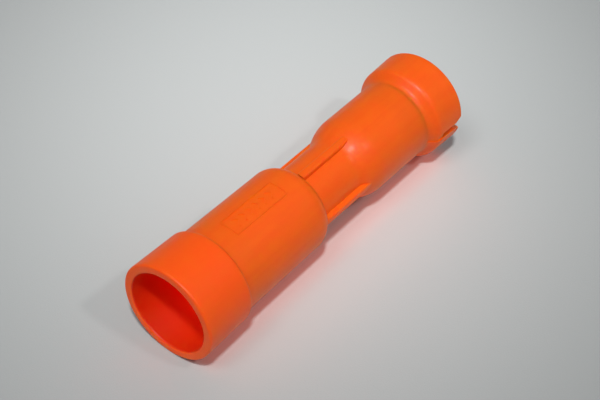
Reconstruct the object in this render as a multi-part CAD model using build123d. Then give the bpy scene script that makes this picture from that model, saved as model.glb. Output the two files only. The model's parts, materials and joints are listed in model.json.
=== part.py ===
from build123d import *
import math
import os

# In-line twist wire connector, lying down.
# Frame: the common axis of both barrels is X, the open mouth faces -X with its rim
# at x = 0, the split collar faces +X, +Z is up. All sizes are in millimetres.
# Lengths named *_x are stations along X measured from the mouth rim.

# ---- driving dimensions -------------------------------------------------------
TOTAL_LENGTH = 96.4

# mouth collar: the wide skirt that the first wire enters
MOUTH_RIM_RADIUS = 12.9
COLLAR_BACK_RADIUS = 12.5
COLLAR_BACK_X = 15.2
COLLAR_BACK_ROUND = 1.5
MOUTH_BORE_RADIUS = 10.6
MOUTH_BORE_END_X = 14.5
LIP_INNER_ROUND = 0.5
LIP_OUTER_ROUND = 0.6
SPIGOT_RADIUS = 10.55
SPIGOT_BORE_RADIUS = 9.75
SPIGOT_END_X = 20.9

# label barrel: the drafted shell with the framed panel and the rounded end
BARREL_FRONT_RADIUS = 11.5
BARREL_END_RADIUS = 11.15
BARREL_END_X = 46.4
BARREL_END_ROUND = 4.5
CARRIER_SEAT_X = 24.4
BARREL_CAVITY_RADIUS = 9.3
BARREL_CAVITY_ROUND = 1.0
END_WALL = 4.0
HUB_BORE_RADIUS = 6.05

# framed panel on the label barrel, raised in low relief, with plain twist arrows
PANEL_START_X = 20.4
PANEL_LENGTH = 17.8
PANEL_WIDTH = 5.6
PANEL_LINE = 0.35
PANEL_RELIEF = 0.16
RELIEF_ROOT_RADIUS = 10.8
ARROW_COUNT = 6
ARROW_HEIGHT = 2.6
ARROW_PITCH = 2.3
ARROW_LINE = 0.5

# ribbed barrel: waist with four ribs, domed shoulder and second barrel; the ribs and
# the slit stand at one small angle to the panel, turned about the axis
SWIVEL_GAP = 0.2
SPLIT_HALF_ANGLE = 2.9
WAIST_RADIUS = 8.1
WAIST_END_X = 60.3
WAIST_BLEND = 4.0
RIB_OUTER_RADIUS = 9.5
RIB_THICKNESS = 2.0
RIB_EDGE_ROUND = 0.45
RIB_COUNT = 4
DOME_CORNER_X = 64.5
DOME_ROUND = 12.0
SECOND_BARREL_RADIUS = 10.5
SECOND_BARREL_END_RADIUS = 10.5
SECOND_BARREL_END_X = 84.2
SECOND_CAVITY_START_X = 65.4
SECOND_CAVITY_RADIUS = 8.3
SECOND_CAVITY_ROUND = 2.6
SECOND_SEAT_X = 74.4
SECOND_SEAT_RADIUS = 8.8

# swivel: a spigot of the ribbed barrel turning in the hub of the label barrel
SWIVEL_CLEARANCE = 0.05
SWIVEL_SPIGOT_START_X = 39.8
SPIGOT_LEAD_ROUND = 0.4
WASHER_THICKNESS = 0.6
WASHER_OUTER_RADIUS = 8.2
RING_THICKNESS = 0.8
RING_GROOVE_RADIUS = 5.3
RING_OUTER_RADIUS = 7.4
RING_OPENING = 6.0

# contact tube: brass, through the spigot and the waist, flared at both ends
TUBE_RADIUS = 4.2
TUBE_BORE_RADIUS = 3.5
TUBE_START_X = 38.0
TUBE_END_X = 67.0
TUBE_FLARE = 1.0
TUBE_STOP_THICKNESS = 0.8
TUBE_STOP_HOLE_RADIUS = 1.2

# spring carriers and springs, one pair on each side
CARRIER_WALL = 1.1
CARRIER_FLANGE_LENGTH = 3.5
CARRIER_NARROW_RADIUS = 5.7
MOUTH_CARRIER_WIDE_RADIUS = 8.55
MOUTH_CARRIER_END_X = 37.6
SPLIT_CARRIER_START_X = 67.6
SPLIT_CARRIER_WIDE_RADIUS = 7.6
SPRING_WIRE = 1.1
SPRING_END_MARGIN = 1.0
SPRING_RADIAL_GAP = 0.1
MOUTH_SPRING_TURNS = 8
SPLIT_SPRING_TURNS = 4.5

# split collar: sleeve with a socket and one axial slit
SPLIT_COLLAR_RADIUS = 12.5
SPLIT_RIM_RADIUS = 12.75
SHOULDER_START_X = 85.2
SHOULDER_END_X = 87.3
SHOULDER_ROUND = 2.2
SOCKET_RADIUS = 10.6
SOCKET_FLOOR_X = 88.4
SPLIT_SPIGOT_RADIUS = 9.6
SPLIT_BORE_RADIUS = 8.8
SPLIT_SPIGOT_START_X = 77.9
SLIT_WIDTH = 2.0
SLIT_THROUGH_X = 89.3
SLIT_GROOVE_START_X = 84.8
SLIT_GROOVE_DEPTH = 0.35
SLIT_MOUTH_WIDTH = 4.6
SLIT_MOUTH_LENGTH = 2.4
RIM_ROUND = 0.7

# how far a cutting tool runs past the face it cuts through
OVERCUT = 1.0


# ---- helpers ------------------------------------------------------------------
def turned(outline):
    """Solid of revolution about X. Each outline point is (x, radius, corner rounding)."""
    points = [(x, radius) for x, radius, rounding in outline]
    roundings = [rounding for x, radius, rounding in outline]
    edge = FilletPolyline(*points, radius=roundings, close=True)
    return revolve(make_face(edge), Axis.X)


def cylinder_x(radius, start_x, end_x):
    """Plain cylinder along X between two stations."""
    return turned([(start_x, 0, 0), (start_x, radius, 0), (end_x, radius, 0), (end_x, 0, 0)])


def box_between(low, high):
    """Box from its lowest to its highest corner."""
    size = [top - bottom for bottom, top in zip(low, high)]
    middle = [(top + bottom) / 2 for bottom, top in zip(low, high)]
    return Pos(*middle) * Box(*size)


def save(solid, node):
    """Write one named piece."""
    export_step(solid, f"parts/{node}.step")
    print(f"{node}: {len(solid.solids())} solid, {solid.volume:.1f} mm3")


# ---- body that stays with the mouth ----------------------------------------------
def mouth_collar():
    """Wide skirt with a rounded lip; its thin spigot is pressed into the label barrel."""
    return turned([
        (0, MOUTH_BORE_RADIUS, LIP_INNER_ROUND),
        (0, MOUTH_RIM_RADIUS, LIP_OUTER_ROUND),
        (COLLAR_BACK_X, COLLAR_BACK_RADIUS, COLLAR_BACK_ROUND),
        (COLLAR_BACK_X, SPIGOT_RADIUS, 0),
        (SPIGOT_END_X, SPIGOT_RADIUS, 0),
        (SPIGOT_END_X, SPIGOT_BORE_RADIUS, 0),
        (COLLAR_BACK_X, SPIGOT_BORE_RADIUS, 0),
        (MOUTH_BORE_END_X, MOUTH_BORE_RADIUS, 0),
    ])


def barrel_shell(extra=0.0):
    """Drafted outer form of the label barrel, grown outwards by an extra radius."""
    return turned([
        (COLLAR_BACK_X, 0, 0),
        (COLLAR_BACK_X, BARREL_FRONT_RADIUS + extra, 0),
        (BARREL_END_X, BARREL_END_RADIUS + extra, BARREL_END_ROUND),
        (BARREL_END_X, 0, 0),
    ])


def panel_relief():
    """Low-relief rectangle with a row of plain arrowheads, on top of the label barrel."""
    plane = Plane.XY.offset(BARREL_CAVITY_RADIUS)
    height = BARREL_FRONT_RADIUS - BARREL_CAVITY_RADIUS + OVERCUT
    middle_x = PANEL_START_X + PANEL_LENGTH / 2
    frame = Rectangle(PANEL_LENGTH, PANEL_WIDTH)
    frame -= Rectangle(PANEL_LENGTH - 2 * PANEL_LINE, PANEL_WIDTH - 2 * PANEL_LINE)
    sketch = Pos(middle_x, 0) * frame
    half = ARROW_HEIGHT / 2
    for index in range(ARROW_COUNT):
        tip_x = middle_x + (index - (ARROW_COUNT - 1) / 2) * ARROW_PITCH + half / 2
        arrow = Polyline((tip_x - half, half), (tip_x, 0), (tip_x - half, -half))
        sketch += trace(arrow, ARROW_LINE)
    raised = extrude(plane * sketch, height)
    return raised & barrel_shell(PANEL_RELIEF)


def label_barrel():
    """Shell with a seat for the spring carrier, a rounded end and the swivel hub."""
    shell = barrel_shell()
    inner_end_x = BARREL_END_X - END_WALL
    hollow = turned([
        (COLLAR_BACK_X - OVERCUT, 0, 0),
        (COLLAR_BACK_X - OVERCUT, SPIGOT_RADIUS, 0),
        (SPIGOT_END_X, SPIGOT_RADIUS, 0),
        (SPIGOT_END_X, SPIGOT_BORE_RADIUS, 0),
        (CARRIER_SEAT_X, SPIGOT_BORE_RADIUS, 0),
        (CARRIER_SEAT_X, BARREL_CAVITY_RADIUS, 0),
        (inner_end_x, BARREL_CAVITY_RADIUS, BARREL_CAVITY_ROUND),
        (inner_end_x, 0, 0),
    ])
    hub = cylinder_x(HUB_BORE_RADIUS, inner_end_x - OVERCUT, BARREL_END_X + OVERCUT)
    relief = panel_relief() - cylinder_x(RELIEF_ROOT_RADIUS, 0, TOTAL_LENGTH)
    return shell - hollow - hub + relief


def spring_carrier(wide_radius, flange_radius, length):
    """Tapered sleeve around a spring, wide end and flange at x = 0, narrow end at +X."""
    slope = (wide_radius - CARRIER_NARROW_RADIUS) / length
    neck_radius = wide_radius - slope * CARRIER_FLANGE_LENGTH + CARRIER_WALL
    return turned([
        (0, wide_radius, 0),
        (0, flange_radius, 0),
        (CARRIER_FLANGE_LENGTH, flange_radius, 0),
        (CARRIER_FLANGE_LENGTH, neck_radius, 0),
        (length, CARRIER_NARROW_RADIUS + CARRIER_WALL, 0),
        (length, CARRIER_NARROW_RADIUS, 0),
    ])


def tapered_spring(wide_radius, length, turns):
    """Coil of square wire set on edge, wide end at x = 0, narrow end at +X."""
    half_diagonal = SPRING_WIRE / math.sqrt(2)
    reach = half_diagonal + SPRING_RADIAL_GAP
    run = length - 2 * SPRING_END_MARGIN
    slope = (wide_radius - CARRIER_NARROW_RADIUS) / length
    start_radius = wide_radius - slope * SPRING_END_MARGIN - reach * math.hypot(1, slope)
    angle = -math.degrees(math.atan(slope))
    coil = Helix(run / turns, run, start_radius, direction=(1, 0, 0), cone_angle=angle)
    coil = Pos(SPRING_END_MARGIN, 0, 0) * coil
    start = Plane(coil @ 0, x_dir=(1, 0, 0), z_dir=coil % 0)
    section = start * Rot(0, 0, 45) * Rectangle(SPRING_WIRE, SPRING_WIRE)
    return sweep(section, path=coil, is_frenet=True)


def thrust_washer():
    """Flat ring that carries the pull of the swivel against the hub's inner face."""
    end_x = BARREL_END_X - END_WALL
    disc = cylinder_x(WASHER_OUTER_RADIUS, end_x - WASHER_THICKNESS, end_x)
    return disc - cylinder_x(HUB_BORE_RADIUS, end_x - WASHER_THICKNESS - OVERCUT, end_x + OVERCUT)


# ---- body that turns at the waist --------------------------------------------------
def swivel_ring_x():
    """Station of the retaining ring's front face."""
    washer_front = BARREL_END_X - END_WALL - WASHER_THICKNESS
    return washer_front - SWIVEL_GAP - RING_THICKNESS


def retaining_ring():
    """Open snap ring in the spigot's groove; it holds the two barrels together."""
    start_x = swivel_ring_x()
    end_x = start_x + RING_THICKNESS
    ring = cylinder_x(RING_OUTER_RADIUS, start_x, end_x)
    ring -= cylinder_x(RING_GROOVE_RADIUS, start_x - OVERCUT, end_x + OVERCUT)
    half = RING_OPENING / 2
    return ring - box_between(
        (start_x - OVERCUT, -half, 0), (end_x + OVERCUT, half, RING_OUTER_RADIUS + OVERCUT)
    )


def clear_of_end(radius):
    """Station at a radius that stays one swivel gap off the label barrel's rounded end."""
    reach = BARREL_END_ROUND + SWIVEL_GAP
    rise = radius - (BARREL_END_RADIUS - BARREL_END_ROUND)
    return BARREL_END_X - BARREL_END_ROUND + math.sqrt(reach**2 - rise**2)


def waist_rib():
    """One rib in the XZ plane; its near end follows the label barrel's rounded end."""
    foot_radius = BARREL_END_RADIUS - BARREL_END_ROUND
    middle_radius = (foot_radius + RIB_OUTER_RADIUS) / 2
    foot_x = clear_of_end(foot_radius)
    top_x = clear_of_end(RIB_OUTER_RADIUS)
    far_x = DOME_CORNER_X + OVERCUT
    near_end = ThreePointArc(
        (foot_x, foot_radius),
        (clear_of_end(middle_radius), middle_radius),
        (top_x, RIB_OUTER_RADIUS),
    )
    outline = Polyline(
        (top_x, RIB_OUTER_RADIUS),
        (far_x, RIB_OUTER_RADIUS),
        (far_x, foot_radius),
        (foot_x, foot_radius),
    )
    face = Plane.XZ * make_face([near_end, *outline.edges()])
    rib = extrude(face, RIB_THICKNESS / 2, both=True)
    top = rib.faces().sort_by(Axis.Z)[-1]
    long_edges = top.edges().filter_by(Axis.X)
    return fillet(long_edges, RIB_EDGE_ROUND)


def ribbed_barrel():
    """Swivel spigot, waist with ribs, domed shoulder and second barrel in one moulding."""
    face_x = BARREL_END_X + SWIVEL_GAP
    face_radius = BARREL_END_RADIUS - BARREL_END_ROUND
    spigot_radius = HUB_BORE_RADIUS - SWIVEL_CLEARANCE
    body = turned([
        (SWIVEL_SPIGOT_START_X, 0, 0),
        (SWIVEL_SPIGOT_START_X, spigot_radius, SPIGOT_LEAD_ROUND),
        (face_x, spigot_radius, 0),
        (face_x, face_radius, 0),
        (clear_of_end(WAIST_RADIUS), WAIST_RADIUS, 0),
        (WAIST_END_X, WAIST_RADIUS, WAIST_BLEND),
        (DOME_CORNER_X, SECOND_BARREL_RADIUS, DOME_ROUND),
        (SECOND_BARREL_END_X, SECOND_BARREL_END_RADIUS, 0),
        (SECOND_BARREL_END_X, 0, 0),
    ])
    rib = waist_rib()
    for index in range(RIB_COUNT):
        body += Rot(SPLIT_HALF_ANGLE + index * 360 / RIB_COUNT, 0, 0) * rib
    body -= cylinder_x(
        TUBE_RADIUS, SWIVEL_SPIGOT_START_X - OVERCUT, SECOND_CAVITY_START_X + OVERCUT
    )
    body -= turned([
        (SECOND_CAVITY_START_X, 0, 0),
        (SECOND_CAVITY_START_X, SECOND_CAVITY_RADIUS, SECOND_CAVITY_ROUND),
        (SECOND_SEAT_X, SECOND_CAVITY_RADIUS, 0),
        (SECOND_SEAT_X, SECOND_SEAT_RADIUS, 0),
        (SPLIT_SPIGOT_START_X, SECOND_SEAT_RADIUS, 0),
        (SPLIT_SPIGOT_START_X, SPLIT_SPIGOT_RADIUS, 0),
        (SECOND_BARREL_END_X + OVERCUT, SPLIT_SPIGOT_RADIUS, 0),
        (SECOND_BARREL_END_X + OVERCUT, 0, 0),
    ])
    groove_x = swivel_ring_x()
    groove_end_x = groove_x + RING_THICKNESS
    groove = cylinder_x(spigot_radius + OVERCUT, groove_x, groove_end_x)
    groove -= cylinder_x(RING_GROOVE_RADIUS, groove_x - OVERCUT, groove_end_x + OVERCUT)
    return body - groove


def contact_tube():
    """Brass tube through spigot and waist, flared at both ends, with a wire stop inside."""
    flare_radius = TUBE_RADIUS + TUBE_FLARE
    flare_bore = TUBE_BORE_RADIUS + TUBE_FLARE
    near_x = SWIVEL_SPIGOT_START_X
    far_x = SECOND_CAVITY_START_X
    stop_start_x = (TUBE_START_X + TUBE_END_X - TUBE_STOP_THICKNESS) / 2
    stop_end_x = stop_start_x + TUBE_STOP_THICKNESS
    return turned([
        (TUBE_START_X, flare_radius, 0),
        (near_x, TUBE_RADIUS, 0),
        (far_x, TUBE_RADIUS, 0),
        (TUBE_END_X, flare_radius, 0),
        (TUBE_END_X, flare_bore, 0),
        (far_x, TUBE_BORE_RADIUS, 0),
        (stop_end_x, TUBE_BORE_RADIUS, 0),
        (stop_end_x, TUBE_STOP_HOLE_RADIUS, 0),
        (stop_start_x, TUBE_STOP_HOLE_RADIUS, 0),
        (stop_start_x, TUBE_BORE_RADIUS, 0),
        (near_x, TUBE_BORE_RADIUS, 0),
        (TUBE_START_X, flare_bore, 0),
    ])


def slit_mouth(outside):
    """Wedge that widens the slit where it opens through the rim."""
    half = SLIT_WIDTH / 2
    wide = SLIT_MOUTH_WIDTH / 2
    start_x = TOTAL_LENGTH - SLIT_MOUTH_LENGTH
    outline = Polyline(
        (start_x, -half), (TOTAL_LENGTH, -wide), (TOTAL_LENGTH, wide), (start_x, half), close=True
    )
    return extrude(Plane.XZ * make_face(outline), -outside)


def groove_floor():
    """The collar's outer form sunk by the groove's depth: what the shallow groove leaves."""
    barrel_radius = SECOND_BARREL_END_RADIUS - SLIT_GROOVE_DEPTH
    collar_radius = SPLIT_COLLAR_RADIUS - SLIT_GROOVE_DEPTH
    return turned([
        (SECOND_BARREL_END_X - OVERCUT, 0, 0),
        (SECOND_BARREL_END_X - OVERCUT, barrel_radius, 0),
        (SHOULDER_START_X, barrel_radius, SHOULDER_ROUND),
        (SHOULDER_END_X, collar_radius, SHOULDER_ROUND),
        (TOTAL_LENGTH, collar_radius, 0),
        (TOTAL_LENGTH, 0, 0),
    ])


def split_collar():
    """Sleeve with a shoulder, a socket and one slit near the -Y side, open at the rim."""
    sleeve = turned([
        (SPLIT_SPIGOT_START_X, SPLIT_BORE_RADIUS, 0),
        (SPLIT_SPIGOT_START_X, SPLIT_SPIGOT_RADIUS, 0),
        (SECOND_BARREL_END_X, SPLIT_SPIGOT_RADIUS, 0),
        (SECOND_BARREL_END_X, SECOND_BARREL_END_RADIUS, 0),
        (SHOULDER_START_X, SECOND_BARREL_END_RADIUS, SHOULDER_ROUND),
        (SHOULDER_END_X, SPLIT_COLLAR_RADIUS, SHOULDER_ROUND),
        (TOTAL_LENGTH, SPLIT_RIM_RADIUS, RIM_ROUND),
        (TOTAL_LENGTH, SOCKET_RADIUS, RIM_ROUND),
        (SOCKET_FLOOR_X, SOCKET_RADIUS, 0),
        (SOCKET_FLOOR_X, SPLIT_BORE_RADIUS, 0),
    ])
    half = SLIT_WIDTH / 2
    outside = -SPLIT_RIM_RADIUS - OVERCUT
    end_x = TOTAL_LENGTH + OVERCUT
    slit = box_between((SLIT_THROUGH_X, outside, -half), (end_x, 0, half))
    slit += slit_mouth(outside)
    groove = box_between((SLIT_GROOVE_START_X, outside, -half), (SLIT_THROUGH_X, 0, half))
    groove -= groove_floor()
    return sleeve - Rot(SPLIT_HALF_ANGLE, 0, 0) * slit - Rot(SPLIT_HALF_ANGLE, 0, 0) * groove


# ---- placing and writing -------------------------------------------------------------
os.makedirs("parts", exist_ok=True)

mouth_carrier_length = MOUTH_CARRIER_END_X - SPIGOT_END_X
split_carrier_length = SPLIT_SPIGOT_START_X - SPLIT_CARRIER_START_X
at_mouth = Pos(SPIGOT_END_X, 0, 0)
at_split = Pos(SPLIT_SPIGOT_START_X, 0, 0) * Rot(0, 0, 180)

mouth_carrier = spring_carrier(
    MOUTH_CARRIER_WIDE_RADIUS, SPIGOT_BORE_RADIUS, mouth_carrier_length
)
mouth_spring = tapered_spring(
    MOUTH_CARRIER_WIDE_RADIUS, mouth_carrier_length, MOUTH_SPRING_TURNS
)
split_carrier = spring_carrier(
    SPLIT_CARRIER_WIDE_RADIUS, SECOND_SEAT_RADIUS, split_carrier_length
)
split_spring = tapered_spring(
    SPLIT_CARRIER_WIDE_RADIUS, split_carrier_length, SPLIT_SPRING_TURNS
)

save(mouth_collar(), "mouth_collar")
save(label_barrel(), "label_barrel")
save(at_mouth * mouth_carrier, "mouth_spring_carrier")
save(at_mouth * mouth_spring, "mouth_spring")
save(thrust_washer(), "thrust_washer")
save(retaining_ring(), "retaining_ring")
save(ribbed_barrel(), "ribbed_barrel")
save(contact_tube(), "contact_tube")
save(at_split * split_carrier, "split_spring_carrier")
save(at_split * split_spring, "split_spring")
save(split_collar(), "split_collar")
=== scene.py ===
import bpy
import json
import math
from mathutils import Matrix, Vector


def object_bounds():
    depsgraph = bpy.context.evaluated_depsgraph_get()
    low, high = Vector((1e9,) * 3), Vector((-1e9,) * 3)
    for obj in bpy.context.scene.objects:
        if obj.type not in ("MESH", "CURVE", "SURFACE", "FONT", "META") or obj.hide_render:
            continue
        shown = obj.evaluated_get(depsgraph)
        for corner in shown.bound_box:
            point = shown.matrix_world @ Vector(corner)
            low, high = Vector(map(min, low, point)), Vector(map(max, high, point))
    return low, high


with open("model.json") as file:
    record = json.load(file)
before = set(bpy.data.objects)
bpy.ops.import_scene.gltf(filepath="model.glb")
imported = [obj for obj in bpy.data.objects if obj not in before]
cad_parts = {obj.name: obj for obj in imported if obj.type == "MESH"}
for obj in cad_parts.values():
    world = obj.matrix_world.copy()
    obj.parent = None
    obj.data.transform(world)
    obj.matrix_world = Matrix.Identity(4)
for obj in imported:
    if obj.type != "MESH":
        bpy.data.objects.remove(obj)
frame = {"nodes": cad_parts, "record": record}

# In-line twist wire connector on a pale table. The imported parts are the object's
# surfaces; this script gives them their materials, the table, the light and the camera.
CAD_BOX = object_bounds()
MM = 0.001
SCENE = bpy.context.scene


# ---- node helpers --------------------------------------------------------------
# The mix node has sockets of every data type; these are its two colours and its result.
MIX_FIRST = 6
MIX_SECOND = 7
MIX_RESULT = 2


class Paint:
    """One material under construction: its node tree and its Principled shader."""

    def __init__(self, name, **fixed):
        self.material = bpy.data.materials.new(name)
        self.material.use_nodes = True
        self.tree = self.material.node_tree
        self.shader = self.tree.nodes["Principled BSDF"]
        for socket, value in fixed.items():
            self.shader.inputs[socket.replace("_", " ")].default_value = value

    def node(self, kind, **settings):
        made = self.tree.nodes.new(kind)
        for name, value in settings.items():
            setattr(made, name, value)
        return made

    def put(self, target, value):
        """Give a socket a link or a plain value."""
        if isinstance(value, bpy.types.NodeSocket):
            self.tree.links.new(value, target)
        else:
            target.default_value = value

    def place(self, stretch=(1, 1, 1)):
        """Position in the object's own frame, in metres, scaled along each axis."""
        coordinate = self.node("ShaderNodeTexCoord").outputs["Object"]
        if tuple(stretch) == (1, 1, 1):
            return coordinate
        mapping = self.node("ShaderNodeMapping")
        self.put(mapping.inputs["Vector"], coordinate)
        mapping.inputs["Scale"].default_value = stretch
        return mapping.outputs["Vector"]

    def noise(self, grain, detail=2.0, rough=0.5, stretch=(1, 1, 1)):
        """Cloudy 0 to 1 value whose lumps are about one grain across, in millimetres."""
        made = self.node("ShaderNodeTexNoise")
        self.put(made.inputs["Vector"], self.place(stretch))
        made.inputs["Scale"].default_value = 1 / (grain * MM)
        made.inputs["Detail"].default_value = detail
        made.inputs["Roughness"].default_value = rough
        return made.outputs["Fac"]

    def cells(self, grain):
        """Distance to the nearest of scattered points, for pits and specks."""
        made = self.node("ShaderNodeTexVoronoi")
        self.put(made.inputs["Vector"], self.place())
        made.inputs["Scale"].default_value = 1 / (grain * MM)
        return made.outputs["Distance"]

    def span(self, value, low, high, to_low=0.0, to_high=1.0):
        """Map a value from one range to another, clamped and smooth."""
        made = self.node("ShaderNodeMapRange", interpolation_type="SMOOTHSTEP")
        self.put(made.inputs["Value"], value)
        for name, number in (("From Min", low), ("From Max", high), ("To Min", to_low), ("To Max", to_high)):
            made.inputs[name].default_value = number
        return made.outputs["Result"]

    def math(self, operation, first, second=0.0):
        """Result of one arithmetic step on links or plain values."""
        made = self.node("ShaderNodeMath", operation=operation)
        self.put(made.inputs[0], first)
        self.put(made.inputs[1], second)
        return made.outputs[0]

    def mix(self, share, first, second):
        """Blend two colours."""
        made = self.node("ShaderNodeMix", data_type="RGBA")
        self.put(made.inputs["Factor"], share)
        self.put(made.inputs[MIX_FIRST], first)
        self.put(made.inputs[MIX_SECOND], second)
        return made.outputs[MIX_RESULT]

    def axis_parts(self):
        """Station along the axis and distance from it, both in metres."""
        split = self.node("ShaderNodeSeparateXYZ")
        self.put(split.inputs[0], self.place())
        y_squared = self.math("MULTIPLY", split.outputs["Y"], split.outputs["Y"])
        z_squared = self.math("MULTIPLY", split.outputs["Z"], split.outputs["Z"])
        return split.outputs["X"], self.math("SQRT", self.math("ADD", y_squared, z_squared))

    def bump(self, height, depth, under=None):
        """Surface relief, depth in millimetres, on top of an earlier relief."""
        made = self.node("ShaderNodeBump")
        made.inputs["Strength"].default_value = 1.0
        made.inputs["Distance"].default_value = depth * MM
        self.put(made.inputs["Height"], height)
        if under is not None:
            self.put(made.inputs["Normal"], under)
        return made.outputs["Normal"]

    def finish(self, colour, roughness, normal):
        """Give the shader its three varied values and hand over the material."""
        for name, value in (("Base Color", colour), ("Roughness", roughness), ("Normal", normal)):
            self.put(self.shader.inputs[name], value)
        return self.material


def rgb(red, green, blue):
    return (red, green, blue, 1.0)


# ---- materials -----------------------------------------------------------------
ORANGE = rgb(0.985, 0.122, 0.001)
ORANGE_PALE = rgb(0.99, 0.13, 0.001)
ORANGE_DEEP = rgb(0.93, 0.095, 0.001)
SCATTER_DEPTH = 1.4 * MM
SCATTER_BY_COLOUR = (1.0, 0.12, 0.03)
STREAK_SHARE = 0.35

# Painted shade: the thick mouth collar is painted a deeper orange to hold back the brighter light its thick
# wall scatters, and the insides of both open ends are painted a dark red for the shade deep inside them.
COLLAR_THICK_END = 13.0 * MM
COLLAR_FADE = 5.0 * MM
COLLAR_SHADE_SHARE = 0.7
INSIDE_PAINTED_SHADE = rgb(0.6, 0.024, 0.0005)
BORE_RADIUS = 10.6 * MM
MOUTH_INSIDE_END = 24.0 * MM
SOCKET_START = 88.0 * MM
BORE_FADE = 0.3 * MM

CARRIER_DARK = rgb(0.78, 0.07, 0.004)
CARRIER_LIGHT = rgb(0.86, 0.09, 0.008)
ZINC_BLUE = rgb(0.50, 0.51, 0.53)
ZINC_PALE = rgb(0.66, 0.66, 0.65)
STEEL_DARK = rgb(0.52, 0.52, 0.51)
STEEL_LIGHT = rgb(0.64, 0.64, 0.63)
BRASS = rgb(0.80, 0.58, 0.24)
BRASS_TARNISH = rgb(0.52, 0.34, 0.14)
TARNISH_DULLING = 0.2


def orange_plastic():
    """Satin translucent moulding: cloudy pigment, flow streaks, fine spark-eroded grain, with painted shade
    on the thick mouth collar and inside both bores.
    """
    paint = Paint("orange_plastic", Subsurface_Weight=1.0, Subsurface_Scale=SCATTER_DEPTH, IOR=1.49,
                  Specular_IOR_Level=0.26, Coat_Weight=0.16, Coat_Roughness=0.27)
    paint.shader.inputs["Subsurface Radius"].default_value = SCATTER_BY_COLOUR
    cloud = paint.span(paint.noise(9, detail=3), 0.3, 0.7)
    streak = paint.span(paint.noise(1.6, detail=2, stretch=(0.12, 1, 1)), 0.35, 0.75)
    speck = paint.span(paint.noise(0.35, detail=1), 0.62, 0.8, 0.0, 0.5)
    colour = paint.mix(cloud, ORANGE, ORANGE_PALE)
    colour = paint.mix(paint.math("MULTIPLY", streak, STREAK_SHARE), colour, ORANGE_DEEP)
    colour = paint.mix(speck, colour, ORANGE_DEEP)
    station, radius = paint.axis_parts()
    # Painted shade: the thick mouth collar is blended towards the deep orange to hold back the brighter
    # light its thick wall scatters.
    thick = paint.span(station, COLLAR_THICK_END, COLLAR_THICK_END + COLLAR_FADE, COLLAR_SHADE_SHARE, 0.0)
    colour = paint.mix(thick, colour, ORANGE_DEEP)
    # Painted shade: the bores of both open ends turn dark red, standing in for the shade deep inside them.
    bore = paint.span(radius, BORE_RADIUS, BORE_RADIUS + BORE_FADE, 1.0, 0.0)
    at_mouth = paint.span(station, MOUTH_INSIDE_END, MOUTH_INSIDE_END + BORE_FADE, 1.0, 0.0)
    at_split = paint.span(station, SOCKET_START - BORE_FADE, SOCKET_START)
    inside = paint.math("MULTIPLY", bore, paint.math("ADD", at_mouth, at_split))
    colour = paint.mix(inside, colour, INSIDE_PAINTED_SHADE)
    rough = paint.math("ADD", paint.span(paint.noise(4, detail=4), 0.3, 0.7, 0.48, 0.56),
                       paint.span(paint.noise(0.25, detail=1), 0.3, 0.7, -0.03, 0.03))
    relief = paint.bump(paint.noise(7, detail=2), 0.05)
    relief = paint.bump(paint.noise(0.28, detail=3, rough=0.6), 0.004, relief)
    return paint.finish(colour, rough, relief)


def carrier_plastic():
    """Darker matte moulding with a coarser grain, dull inside the barrel."""
    paint = Paint("carrier_plastic", IOR=1.49)
    cloud = paint.span(paint.noise(5, detail=3), 0.3, 0.7)
    colour = paint.mix(cloud, CARRIER_DARK, CARRIER_LIGHT)
    rough = paint.span(paint.noise(1.2, detail=3), 0.3, 0.7, 0.5, 0.62)
    return paint.finish(colour, rough, paint.bump(paint.noise(0.3, detail=2), 0.008))


def spring_steel():
    """Zinc-plated drawn wire: bluish spangle, draw lines, a little dulling."""
    paint = Paint("spring_steel", Metallic=1.0)
    spangle = paint.span(paint.noise(1.1, detail=4), 0.35, 0.65)
    colour = paint.mix(spangle, ZINC_BLUE, ZINC_PALE)
    rough = paint.span(paint.noise(0.5, detail=3), 0.3, 0.7, 0.28, 0.42)
    return paint.finish(colour, rough, paint.bump(paint.noise(0.12, detail=2), 0.006))


def washer_steel():
    """Stamped steel, tumbled: shallow dings over a fine grey finish."""
    paint = Paint("washer_steel", Metallic=1.0)
    cloud = paint.span(paint.noise(1.5, detail=4), 0.3, 0.7)
    colour = paint.mix(cloud, STEEL_DARK, STEEL_LIGHT)
    rough = paint.span(paint.noise(0.4, detail=3), 0.3, 0.7, 0.32, 0.48)
    relief = paint.bump(paint.span(paint.cells(0.7), 0.0, 0.35), 0.01)
    return paint.finish(colour, rough, paint.bump(paint.noise(0.15), 0.004, relief))


def contact_brass():
    """Drawn brass tube with lengthwise draw marks and brown tarnish in patches."""
    paint = Paint("contact_brass", Metallic=1.0)
    tarnish = paint.span(paint.noise(2.5, detail=5), 0.45, 0.7)
    colour = paint.mix(tarnish, BRASS, BRASS_TARNISH)
    lines = paint.noise(0.2, detail=2, stretch=(0.05, 1, 1))
    rough = paint.math("ADD", paint.span(lines, 0.3, 0.7, 0.24, 0.34),
                       paint.math("MULTIPLY", tarnish, TARNISH_DULLING))
    return paint.finish(colour, rough, paint.bump(lines, 0.006))


SLOT_PAINT = {
    "orange_moulding": orange_plastic,
    "carrier_moulding": carrier_plastic,
    "spring_steel": spring_steel,
    "washer_steel": washer_steel,
    "contact_brass": contact_brass,
}


def paint_nodes():
    """Each part takes the finish that the record names for it."""
    made = {slot: build() for slot, build in SLOT_PAINT.items()}
    for part in frame["record"]["subparts"]:
        node = frame["nodes"][part["node"]]
        node.data.materials.clear()
        node.data.materials.append(made[part["material_slot"]])


# ---- stage ---------------------------------------------------------------------
FLOOR_HALF = 1.5
FLOOR_PALE = rgb(0.6, 0.625, 0.632)
FLOOR_PAINTED_DIM = rgb(0.15, 0.157, 0.159)
FLOOR_LIGHT_POOL_PLACE = Vector((80.0, 31.0, 0.0)) * MM
FLOOR_LIGHT_POOL_TURN = math.radians(27)
FLOOR_LIGHT_POOL_REACH = (0.132, 0.109, 1.0)
FLOOR_ROUGHNESS = 0.75


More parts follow.
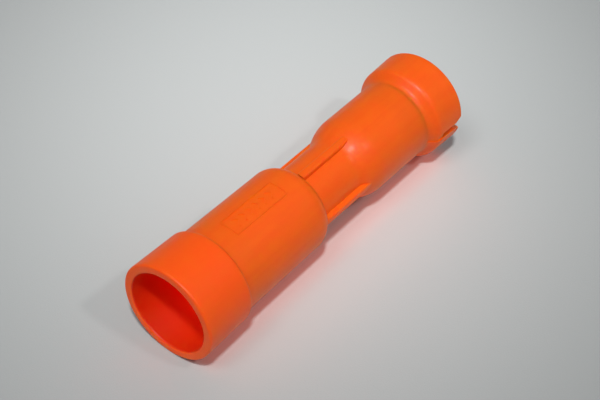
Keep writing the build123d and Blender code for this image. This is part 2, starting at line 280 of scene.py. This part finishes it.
def floor():
    """Matt pale sheet with a painted pool of light: brightest around the object and painted dimmer further
    out.
    """
    low = CAD_BOX[0]
    corners = [(x, y, low[2]) for x, y in ((-1, -1), (1, -1), (1, 1), (-1, 1))]
    mesh = bpy.data.meshes.new("floor")
    mesh.from_pydata([(x * FLOOR_HALF, y * FLOOR_HALF, z) for x, y, z in corners], [], [(0, 1, 2, 3)])
    sheet = bpy.data.objects.new("floor", mesh)
    SCENE.collection.objects.link(sheet)
    paint = Paint("floor_paper", Specular_IOR_Level=0.2)
    # Painted light: a pool of light painted into the floor colour, bright around the object and dim towards
    # the edges.
    centred = paint.node("ShaderNodeMapping", vector_type="TEXTURE")
    paint.put(centred.inputs["Vector"], paint.place())
    centred.inputs["Location"].default_value = FLOOR_LIGHT_POOL_PLACE
    centred.inputs["Rotation"].default_value = (0.0, 0.0, FLOOR_LIGHT_POOL_TURN)
    centred.inputs["Scale"].default_value = FLOOR_LIGHT_POOL_REACH
    square = paint.node("ShaderNodeVectorMath", operation="DOT_PRODUCT")
    for socket in square.inputs[:2]:
        paint.put(socket, centred.outputs["Vector"])
    bright = paint.math("EXPONENT", paint.math("MULTIPLY", square.outputs["Value"], -1.0))
    grain = paint.span(paint.noise(0.4, detail=3), 0.3, 0.7)
    paint.finish(paint.mix(bright, FLOOR_PAINTED_DIM, FLOOR_PALE), FLOOR_ROUGHNESS, paint.bump(grain, 0.01))
    mesh.materials.append(paint.material)


# ---- light ---------------------------------------------------------------------
SKY_COLOUR = rgb(0.95, 0.99, 1.0)
SKY_STRENGTH = 0.19
LAMP_WHITE = (1.0, 0.99, 0.97)

# Name, direction the lamp stands in, strength, and how wide it looks in degrees.
DISTANT_LAMPS = (
    ("key", Vector((-0.33, -0.21, 0.92)), 1.88, 5),
    ("overhead", Vector((-0.55, 0.06, 1.0)), 0.68, 20),
    ("side", Vector((0.17, -0.66, 1.0)), 0.39, 5),
    ("fill", Vector((0.1, -1.0, 0.45)), 0.15, 85),
)

# Light that the translucent plastic passes on: close under the flank, and wider over the table.
GLOW_PLACE = Vector((48.0, -9.0, -10.6)) * MM
GLOW_DIRECTION = Vector((0.0, 0.1, 1.0))
GLOW_SIZE = (92.0 * MM, 6.0 * MM)
GLOW_POWER = 0.00082
GLOW_COLOUR = (1.0, 0.08, 0.02)
SPILL_PLACE = Vector((44.0, -15.0, -2.0)) * MM
SPILL_DIRECTION = Vector((0.0, 0.9, 0.45))
SPILL_SIZE = (90.0 * MM, 5.0 * MM)
SPILL_POWER = 0.00115
SPILL_COLOUR = (1.0, 0.42, 0.36)

# The same inside the mouth, from just behind its bore.
WALL_GLOW_PLACE = Vector((17.5, 3.0, -1.5)) * MM
WALL_GLOW_RADIUS = 2.5 * MM
WALL_GLOW_POWER = 0.0026
WALL_GLOW_COLOUR = (1.0, 0.02, 0.0)


def sky():
    """Even, slightly cool studio surroundings."""
    world = bpy.data.worlds.new("studio")
    SCENE.world = world
    world.use_nodes = True
    background = world.node_tree.nodes["Background"]
    background.inputs["Color"].default_value = SKY_COLOUR
    background.inputs["Strength"].default_value = SKY_STRENGTH


def lamp(name, kind, strength, colour):
    """Put one lamp in the scene; gives its object and its light."""
    light = bpy.data.lights.new(name, kind)
    light.energy = strength
    light.color = colour
    holder = bpy.data.objects.new(name, light)
    SCENE.collection.objects.link(holder)
    return holder, light


def facing_away(direction):
    """Turn that points a lamp's light away from the given direction."""
    return direction.to_track_quat("Z", "Y").to_matrix().to_4x4()


def distant_lamp(name, direction, strength, width):
    """One distant lamp that stands in the given direction from the object."""
    holder, light = lamp(name, "SUN", strength, LAMP_WHITE)
    light.angle = math.radians(width)
    holder.matrix_world = facing_away(direction)


def strip_lamp(name, place, direction, size, power, colour):
    """Small rectangle of light, itself unseen, that faces away from the given direction."""
    holder, light = lamp(name, "AREA", power, colour)
    light.shape = "RECTANGLE"
    light.size, light.size_y = size
    holder.visible_camera = False
    holder.matrix_world = Matrix.Translation(place) @ facing_away(direction)


def wall_glow():
    """Small unseen lamp for the light that reaches the mouth through its wall."""
    holder, light = lamp("bore", "POINT", WALL_GLOW_POWER, WALL_GLOW_COLOUR)
    light.shadow_soft_size = WALL_GLOW_RADIUS
    holder.visible_camera = False
    holder.location = WALL_GLOW_PLACE


# ---- camera --------------------------------------------------------------------
CAMERA_PLACE = Vector((-168.8, -151.6, 273.9)) * MM
CAMERA_AIM = Vector((35.0, -8.5, 15.2)) * MM
CAMERA_ROLL = math.radians(5.16)
SENSOR_WIDTH = 36.0
FOCAL_LENGTH = 96.0
CLIP_START = 10.0 * MM


def camera():
    """Looks down on the open mouth from the front left, through a short telephoto lens."""
    data = bpy.data.cameras.new("camera")
    data.sensor_width = SENSOR_WIDTH
    data.lens = FOCAL_LENGTH
    data.clip_start = CLIP_START
    eye = bpy.data.objects.new("camera", data)
    SCENE.collection.objects.link(eye)
    turn = (CAMERA_AIM - CAMERA_PLACE).to_track_quat("-Z", "Y").to_matrix().to_4x4()
    roll = Matrix.Rotation(CAMERA_ROLL, 4, "Z")
    eye.matrix_world = Matrix.Translation(CAMERA_PLACE) @ turn @ roll
    SCENE.camera = eye


SCENE.view_settings.view_transform = "Standard"
paint_nodes()
floor()
sky()
for lamp_values in DISTANT_LAMPS:
    distant_lamp(*lamp_values)
strip_lamp("glow", GLOW_PLACE, GLOW_DIRECTION, GLOW_SIZE, GLOW_POWER, GLOW_COLOUR)
strip_lamp("spill", SPILL_PLACE, SPILL_DIRECTION, SPILL_SIZE, SPILL_POWER, SPILL_COLOUR)
wall_glow()
camera()
